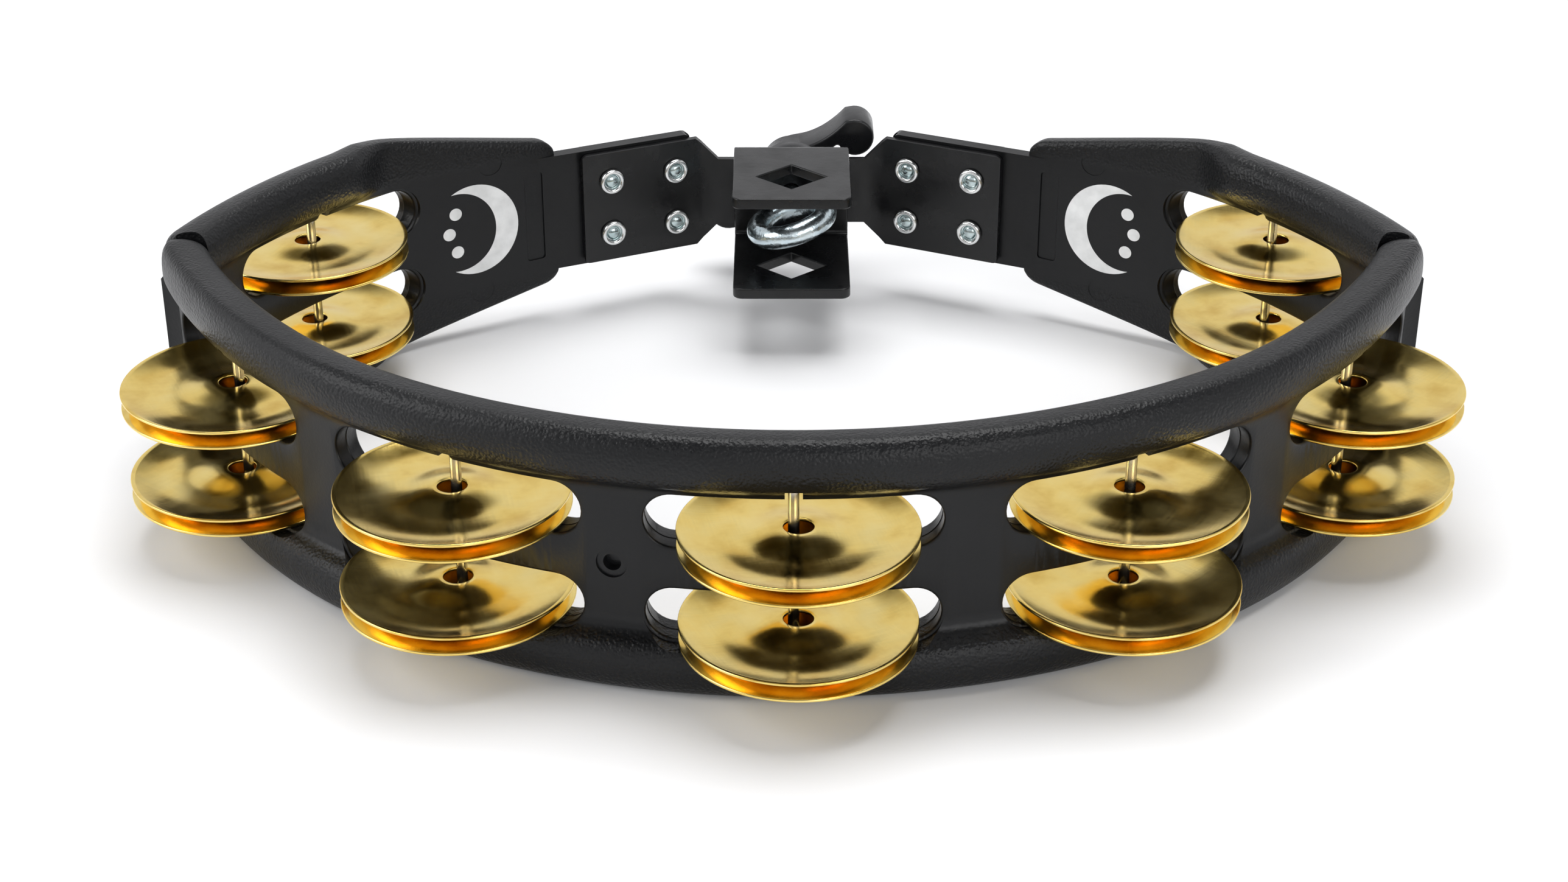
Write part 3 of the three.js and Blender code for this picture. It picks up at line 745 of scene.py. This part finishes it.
BOW_PLACES = ["bow_far_left", "bow_left", "bow_middle", "bow_right", "bow_far_right"]
SPOTS = {}
for index, place_name in enumerate(BOW_PLACES):
    turn = (index - 2) * SLOT_PITCH
    pin_point = arc_point(BOW_PIN_RADIUS, turn, 0, -1)
    SPOTS[place_name] = spot_at(pin_point.x, pin_point.y, turn)
pin_point = arc_point(WING_PIN_RADIUS, WING_PIN_ANGLE, WING_CENTRE_Y, 1)
SPOTS["wing_right"] = spot_at(pin_point.x, pin_point.y, 180 - WING_PIN_ANGLE)
SPOTS["wing_left"] = spot_at(-pin_point.x, pin_point.y, WING_PIN_ANGLE - 180)


def on_ear(side):
    """A map from (along the ear, height, depth behind its front) to a point, on either side."""
    cosine, sine = math.cos(rad(EAR_ANGLE)), math.sin(rad(EAR_ANGLE))

    def place(u, z, depth):
        x = EAR.x + u * cosine + depth * sine
        y = EAR.y - u * sine + depth * cosine
        return (side * x, y, z)

    return place


def rounded_box(low, high, corner, steps=6):
    """A rectangle's outline between two corners, with its corners rounded."""
    outline = []
    corners = [(high[0], high[1], 0), (low[0], high[1], 90), (low[0], low[1], 180), (high[0], low[1], 270)]
    for x, y, start in corners:
        centre_x = x - math.copysign(corner, x - (low[0] + high[0]) / 2)
        centre_y = y - math.copysign(corner, y - (low[1] + high[1]) / 2)
        for step in range(steps + 1):
            angle = rad(start + 90 * step / steps)
            outline.append((centre_x + corner * math.cos(angle), centre_y + corner * math.sin(angle)))
    return outline


def plate_point(side, x_along, height, lift):
    """A point on the plate's inner face, x_along mm from the middle of the object."""
    stations = [(centre, outward) for centre, outward, angle in WING_LINE]
    for (first, out_a), (second, out_b) in zip(stations, stations[1:]):
        face_a = first - out_a * (WEB_HALF + lift)
        face_b = second - out_b * (WEB_HALF + lift)
        if face_a.x >= x_along >= face_b.x:
            share = (face_a.x - x_along) / max(1e-6, face_a.x - face_b.x)
            face = face_a.lerp(face_b, share)
            return (side * face.x, face.y, height)
    raise ValueError(x_along)


def plate_solid(name, outline, side, lifts):
    """A solid over an outline of (x, height) points, between two lifts from the plate's inner face."""
    return loft(name, [[plate_point(side, x, height, lift) for x, height in outline] for lift in lifts])


def shallow_tool(outline, side, depth):
    """Sinks an outline of (x, height) points into the plate's inner face."""
    return plate_solid("tool", outline, side, (-depth, 1.0))


def recess_tool(radius, depth):
    """One round step of the recess in the bow's outer face."""
    middle = arc_point(BOW_RADIUS, RECESS_ANGLE, 0, -1)
    point, along, outward = spot_at(middle.x, middle.y, RECESS_ANGLE)

    def place(across, up, out):
        flat = point + along * across + outward * out
        return (flat.x, flat.y, up + RECESS_HEIGHT)

    low, high = WEB_HALF - depth, WEB_HALF + 2
    profile = [(0.0, low), (radius, low), (radius + RECESS_FLARE, high), (0.0, high)]
    return lathe("tool", profile, place, 32)


def made_bow():
    """The front bow, with its slots, pin notches and recess."""
    bow = loft("bow_moulding", bow_rings())
    for place_name in BOW_PLACES:
        spot = SPOTS[place_name]
        for height in ROWS.values():
            tool = slot_tool("tool", spot, BOW_RADIUS, BOW_PIN_RADIUS, BOW_SLOT_LENGTH, height)
            combine(bow, tool, "DIFFERENCE")
        combine(bow, notch_tool("tool", spot, 1), "DIFFERENCE")
    for radius, depth in RECESS_STEPS:
        combine(bow, recess_tool(radius, depth), "DIFFERENCE")
    return bow


def made_wing():
    """The left wing, with its tongue, slots, pin notch and shallow marks."""
    wing = loft("left_wing_moulding", mirrored_points(wing_rings()))
    low, high = (TONGUE_REACH[0], -TONGUE_HALF_HEIGHT), (TONGUE_REACH[1], TONGUE_HALF_HEIGHT)
    from_front = STRAP + GAP
    tongue = extruded(
        "tool", rounded_box(low, high, 1.5), on_ear(-1), from_front, from_front + TONGUE_THICKNESS
    )
    combine(wing, tongue, "UNION")
    spot = SPOTS["wing_left"]
    for height in ROWS.values():
        tool = slot_tool("tool", spot, WING_RADIUS, WING_PIN_RADIUS, WING_SLOT_LENGTH, height)
        combine(wing, tool, "DIFFERENCE")
    combine(wing, notch_tool("tool", spot, -1), "DIFFERENCE")
    outline = [(-point.x, point.y) for point in bow_outline(GAP)]
    combine(wing, extruded("tool", outline, lambda x, y, z: (x, y, z), -40, 40), "DIFFERENCE")
    combine(wing, shallow_tool(rounded_box(*PANEL, 0.8, 3), -1, 0.35), "DIFFERENCE")
    for mark_x, mark_z, size in EJECTOR_MARKS:
        circle = [
            (mark_x + 0.92 * size * math.cos(rad(t)), mark_z + size * math.sin(rad(t)))
            for t in range(0, 360, 12)
        ]
        combine(wing, shallow_tool(circle, -1, 0.15), "DIFFERENCE")
    return wing


finish_piece(made_bow(), FRAME_BLACK, "frame", ["bow"], 32)
left_wing = made_wing()
right_wing = bpy.data.objects.new("right_wing_moulding", left_wing.data.copy())
scene.collection.objects.link(right_wing)
right_wing.data.transform(Matrix.Scale(-1, 4, (1, 0, 0)))
right_wing.data.flip_normals()
finish_piece(left_wing, FRAME_BLACK, "frame", ["left_wing"], 32)
finish_piece(right_wing, FRAME_BLACK, "frame", ["right_wing"], 32)


# ---- pins and jingles ----
def pin_profile():
    """A straight wire with rounded ends."""
    low, high = PIN_ENDS
    flat = PIN_RADIUS - PIN_EASE
    turns = [rad(turn) for turn in (0, 30, 60, 90)]
    profile = [(0.0, low)]
    profile += [(flat + PIN_EASE * math.sin(t), low + PIN_EASE - PIN_EASE * math.cos(t)) for t in turns]
    profile += [(flat + PIN_EASE * math.cos(t), high - PIN_EASE + PIN_EASE * math.sin(t)) for t in turns]
    return profile + [(0.0, high)]


def disc_height(radius):
    """The inner face's height above the pair's middle: a crown, a flat trough and a flared rim."""
    crown = 0.5 + 0.5 * math.cos(math.pi * min(1.0, (radius - DISC_HOLE) / DISC_CROWN_REACH))
    flare = max(0.0, (radius - DISC_FLARE_FROM) / (DISC_RADIUS - DISC_FLARE_FROM)) ** DISC_FLARE_POWER
    return DISC_TROUGH + (DISC_CROWN - DISC_TROUGH) * max(crown, flare)


def disc_profile():
    """One disc's closed section, from its hole to its rim and back."""
    hole, edge = DISC_HOLE + DISC_LIP_ROUND, DISC_RADIUS - DISC_RIM_ROUND
    inner = [(radius, disc_height(radius)) for radius in spread(hole, edge, DISC_STEPS)]
    outer = [(radius, height + DISC_GAUGE) for radius, height in reversed(inner)]
    half = DISC_GAUGE / 2
    turns = [rad(turn) for turn in (-60, -30, 0, 30, 60)]
    rim_middle, lip_middle = inner[-1][1] + half, inner[0][1] + half
    rim = [(edge + DISC_RIM_ROUND * math.cos(t), rim_middle + half * math.sin(t)) for t in turns]
    lip = [(hole - DISC_LIP_ROUND * math.cos(t), lip_middle - half * math.sin(t)) for t in turns]
    return inner + rim + outer + lip


for place_name, spot in SPOTS.items():
    pin = lathe(
        "pin_" + place_name + "_wire",
        pin_profile(),
        lambda x, y, z, base=spot[0]: (base.x + x, base.y + y, z),
        24,
    )
    finish_piece(pin, PIN_STEEL, "frame", ["pin_" + place_name], 40)

disc_meshes = {}
for kind, side in (("upper_disc", 1), ("lower_disc", -1)):
    pattern = lathe(
        kind,
        disc_profile(),
        lambda x, y, z, flip=side: (x - ORIGIN.x, y - ORIGIN.y, z * flip - ORIGIN.z),
        96,
    )
    smooth(pattern, 50)
    pattern.data.materials.append(BRASS)
    disc_meshes[kind] = pattern.data
    bpy.data.objects.remove(pattern)

for place_name, (point, along, outward) in SPOTS.items():
    lean = rad(LEAN.get(place_name, 0))
    middle = point + (outward * math.cos(lean) + along * math.sin(lean)) * DISC_HANG
    for row, height in ROWS.items():
        for kind, mesh in disc_meshes.items():
            node = "_".join((kind, row, place_name))
            disc = bpy.data.objects.new(node + "_brass", mesh)
            scene.collection.objects.link(disc)
            disc.location = (Vector((middle.x, middle.y, height - DISC_DROP)) + ORIGIN) * MM
            disc.rotation_euler.z = dice.uniform(0, 2 * math.pi)
            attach(disc, node)
            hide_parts(node)


# ---- bracket, rivets and clamp ----
for node, width in (
    ("mount_bracket", 0.45),
    ("left_backing_plate", 0.45),
    ("right_backing_plate", 0.45),
    ("rod_clamp", 0.8),
):
    from_node(node, width, BLACK_STEEL, "frame")
from_node("clamp_washer", 0.3, ZINC, "frame")
from_node("handle_insert", 0.3, ZINC, "handle")


def rivet_profile():
    """A rivet in front (below 0) and behind the stack it holds: domed core, ring, shank and tail."""
    stack = STRAP * 2 + TONGUE_THICKNESS + GAP * 3
    profile = [(0.0, RIVET_CORE_FRONT)]
    for turn in (20, 40, 60, 75):
        profile.append((RIVET_DOME * 0.96 * math.sin(rad(turn)), 0.1 - 1.25 * math.cos(rad(turn))))
    profile.append((RIVET_DOME, -0.25))
    for turn in range(180, -1, -20):
        radius = RIVET_RING + RIVET_RING_HALF * math.cos(rad(turn))
        profile.append((radius, -0.62 - 0.78 * math.sin(rad(turn))))
    profile += [(RIVET_HEAD, -0.5), (RIVET_HEAD, -0.32), (RIVET_SHANK, -0.3), (RIVET_SHANK, stack)]
    return profile + [(radius, stack + height) for radius, height in RIVET_TAIL]


for side, side_name in ((1, "right"), (-1, "left")):
    for row, height in RIVET_ROWS.items():
        for end, u in (("inner", -RIVET_U), ("outer", RIVET_U)):
            onto = on_ear(side)
            node = "_".join((side_name, "rivet", end, row))
            rivet = lathe(
                node + "_metal",
                rivet_profile(),
                lambda a, b, depth, put=onto, over=u, up=height: put(a + over, b + up, depth),
                40,
            )
            rivet.data.materials.append(NICKEL)
            rivet.data.materials.append(RIVET_CORE)
            centre = (Vector(onto(u, height, 0)) + ORIGIN) * MM
            for face in rivet.data.polygons:
                if (face.center - centre).length < RIVET_DOME * 1.05 * MM:
                    face.material_index = 1
            finish_piece(rivet, NICKEL, "frame", [node], 50)


def eye_rings():
    """The eye's round section carried round its ring, slightly uneven as cast."""
    rings = []
    tilt = Matrix.Rotation(rad(-EYE_TILT), 4, "Y")
    for turn in range(EYE_TURNS):
        angle = 2 * math.pi * turn / EYE_TURNS
        ring = []
        for step in range(EYE_SIDES):
            across = 2 * math.pi * step / EYE_SIDES
            radius = EYE_RING + EYE_WIRE * math.cos(across)
            flat = Vector((radius * math.cos(angle), radius * math.sin(angle), EYE_WIRE * math.sin(across)))
            uneven = 1 + 0.006 * math.sin(3 * angle + 1) + 0.004 * math.sin(7 * angle + 2 * across)
            point = tilt @ (flat * uneven)
            ring.append((point.x, point.y + EYE_Y, point.z))
        rings.append(ring)
    return rings


def along_y(x, y, depth):
    return (x, depth, y)


def shank_profile():
    """The bolt behind the eye, with its thread."""
    profile = [(0.0, EYE_Y + EYE_RING), (EYE_WIRE, EYE_Y + EYE_RING), (EYE_WIRE, THREAD_FROM)]
    for step in range(int((BOLT_END - 1 - THREAD_FROM) / THREAD_STEP)):
        cut = THREAD_DEPTH if step % 2 else 0.0
        profile.append((EYE_WIRE - cut, THREAD_FROM + THREAD_STEP * (step + 1)))
    return profile + [(EYE_WIRE - 0.4, BOLT_END), (0.0, BOLT_END)]


eye = loft("eye_bolt_casting", eye_rings(), closed=True)
combine(eye, lathe("tool", shank_profile(), along_y, 32), "UNION")
finish_piece(eye, ZINC, "eye", ["eye_bolt"], 40)


# ---- handle ----
def arm_outline():
    """One arm's outline as (x, height) points, from the boss round its tip and back."""
    boss, tip = HANDLE_BOSS, HANDLE_TIP
    size = HANDLE_TIP_RADIUS
    points = [Vector((-boss, boss * 0.3))]
    points += curve([points[-1], (-boss * 0.5, boss * 0.9), (2, boss)], 8)
    points += curve([points[-1], (9, boss * 1.15), (tip.x - 2.6, tip.y + size * 0.92)], 10)
    for turn in range(105, -106, -12):
        points.append(tip + Vector((math.cos(rad(turn)), math.sin(rad(turn)))) * size)
    points += curve([points[-1], (tip.x - 3.2, tip.y - 4.6), (tip.x - 4.4, tip.y - 2.2)], 5)
    points += curve([points[-1], (boss + 3.2, tip.y - 2.0), (boss * 0.98, 1.5)], 6)
    points.append(Vector((0, -boss * 0.6)))
    return [(point.x, point.y) for point in points]


def arm(side):
    piece = extruded("arm", [(side * x, side * z) for x, z in arm_outline()], along_y, ARM_FROM, ARM_TO)
    return bevelled(piece, ARM_BEVEL, 4, 50)


def hub_profile():
    """The handle's round hub and boss about its bore, with eased edges."""
    hub_top = HANDLE_FROM + HUB_DEPTH
    return [
        (HANDLE_BORE, HANDLE_FROM),
        (HANDLE_HUB - 1, HANDLE_FROM),
        (HANDLE_HUB - 0.3, HANDLE_FROM + 0.3),
        (HANDLE_HUB, HANDLE_FROM + 1),
        (HANDLE_HUB, hub_top - 2),
        (HANDLE_HUB - 0.6, hub_top - 0.6),
        (HANDLE_HUB - 2, hub_top),
        (HANDLE_BOSS, hub_top + 0.8),
        (HANDLE_BOSS, ARM_TO - 2.2),
        (HANDLE_BOSS - 0.4, ARM_TO - 1.4),
        (HANDLE_BOSS - 1.2, ARM_TO - 1),
        (HANDLE_BORE, ARM_TO - 1),
    ]


handle = lathe("handle_moulding", hub_profile(), along_y, 64)
for side in (1, -1):
    grip = arm(side)
    grip.modifiers.clear()
    combine(handle, grip, "UNION")
bore = lathe("tool", [(0.0, 40), (HANDLE_BORE, 40), (HANDLE_BORE, 80), (0.0, 80)], along_y, 40)
combine(handle, bore, "DIFFERENCE")
finish_piece(handle, HANDLE_BLACK, "handle", ["clamp_handle"], 40)


# ---- printed mark: a crescent and three dots ----
def crescent_outline():
    """The outer circle's far side, and back along a shifted inner circle through the same tips."""
    outline = []
    for turn in range(60, 301, 6):
        across = MARK_SQUEEZE * MARK_RADIUS * math.cos(rad(turn))
        outline.append((MARK_X + across, MARK_RADIUS * math.sin(rad(turn))))
    tip_x, tip_z = outline[-1]
    middle = MARK_X + MARK_INNER
    radius = math.hypot((tip_x - middle) / MARK_SQUEEZE, tip_z)
    first = math.degrees(math.atan2(tip_z, (tip_x - middle) / MARK_SQUEEZE))
    sweep = -2 * (180 + first)
    for step in range(1, 40):
        angle = rad(first + sweep * step / 40)
        outline.append((middle + MARK_SQUEEZE * radius * math.cos(angle), radius * math.sin(angle)))
    return outline


def dot_outline(along, height, size):
    outline = []
    for turn in range(0, 360, 15):
        across = DOT_SQUEEZE * size * math.cos(rad(turn))
        outline.append((MARK_X + along + across, height + size * math.sin(rad(turn))))
    return outline


def ink(name, outline, side):
    """A thin printed shape; the outline is (x, height) on the plate."""
    finish_piece(plate_solid(name, outline, side, INK), PRINT, "frame")


for side, side_name in ((1, "right"), (-1, "left")):
    ink(side_name + "_mark_crescent", crescent_outline(), side)
    for number, dot in enumerate(MARK_DOTS):
        ink(side_name + "_mark_dot_" + str(number + 1), dot_outline(*dot), side)


# ---- floor, light and camera ----
floor_mesh = bpy.data.meshes.new("floor")
corners = [(x * FLOOR_REACH, y * FLOOR_REACH, 0) for x, y in ((-1, -1), (1, -1), (1, 1), (-1, 1))]
floor_mesh.from_pydata(corners, [], [(0, 1, 2, 3)])
floor = bpy.data.objects.new("floor", floor_mesh)
floor.location.z = -FLOOR_DROP
scene.collection.objects.link(floor)
floor_mesh.materials.append(pale_floor())

world = bpy.data.worlds.new("studio")
scene.world = world
world.use_nodes = True
sky = world.node_tree
direction = sky.nodes.new("ShaderNodeTexCoord")
split = sky.nodes.new("ShaderNodeSeparateXYZ")
ramp = sky.nodes.new("ShaderNodeValToRGB")
sky.links.new(direction.outputs["Generated"], split.inputs["Vector"])
sky.links.new(split.outputs["Z"], ramp.inputs["Fac"])
sky.links.new(ramp.outputs["Color"], sky.nodes["Background"].inputs["Color"])
set_stops(ramp.color_ramp, [(position, (grey, grey, grey * 1.02)) for position, grey in SKY])
sky.nodes["Background"].inputs["Strength"].default_value = SKY_STRENGTH


def soft_light(name, place, target, size, power):
    """A rectangular light at a place in metres, turned towards its target."""
    data = bpy.data.lights.new(name, "AREA")
    data.shape = "RECTANGLE"
    data.size, data.size_y = size
    data.energy = power
    light = bpy.data.objects.new(name, data)
    scene.collection.objects.link(light)
    light.location = place
    light.rotation_euler = (Vector(target) - Vector(place)).to_track_quat("-Z", "Y").to_euler()


soft_light("overhead", (0.1, 0.25, 1.3), (0, 0, 0), (1.1, 0.8), 16)
soft_light("left_window", (-1.2, -0.3, 0.8), (0, 0, 0.02), (0.8, 1.0), 9)
soft_light("front_fill", (0.7, -1.2, 0.6), (0, 0, 0.02), (0.9, 0.6), 5)

camera = bpy.data.objects.new("camera", bpy.data.cameras.new("camera"))
scene.collection.objects.link(camera)
camera.data.lens = CAMERA_LENS
camera.data.sensor_width = SENSOR_WIDTH
camera.data.clip_start = 0.01
camera.location = (CAMERA_PLACE + ORIGIN) * MM
camera.rotation_euler = (rad(90 - CAMERA_PITCH), 0, 0)
scene.camera = camera
scene.view_settings.view_transform = "Standard"
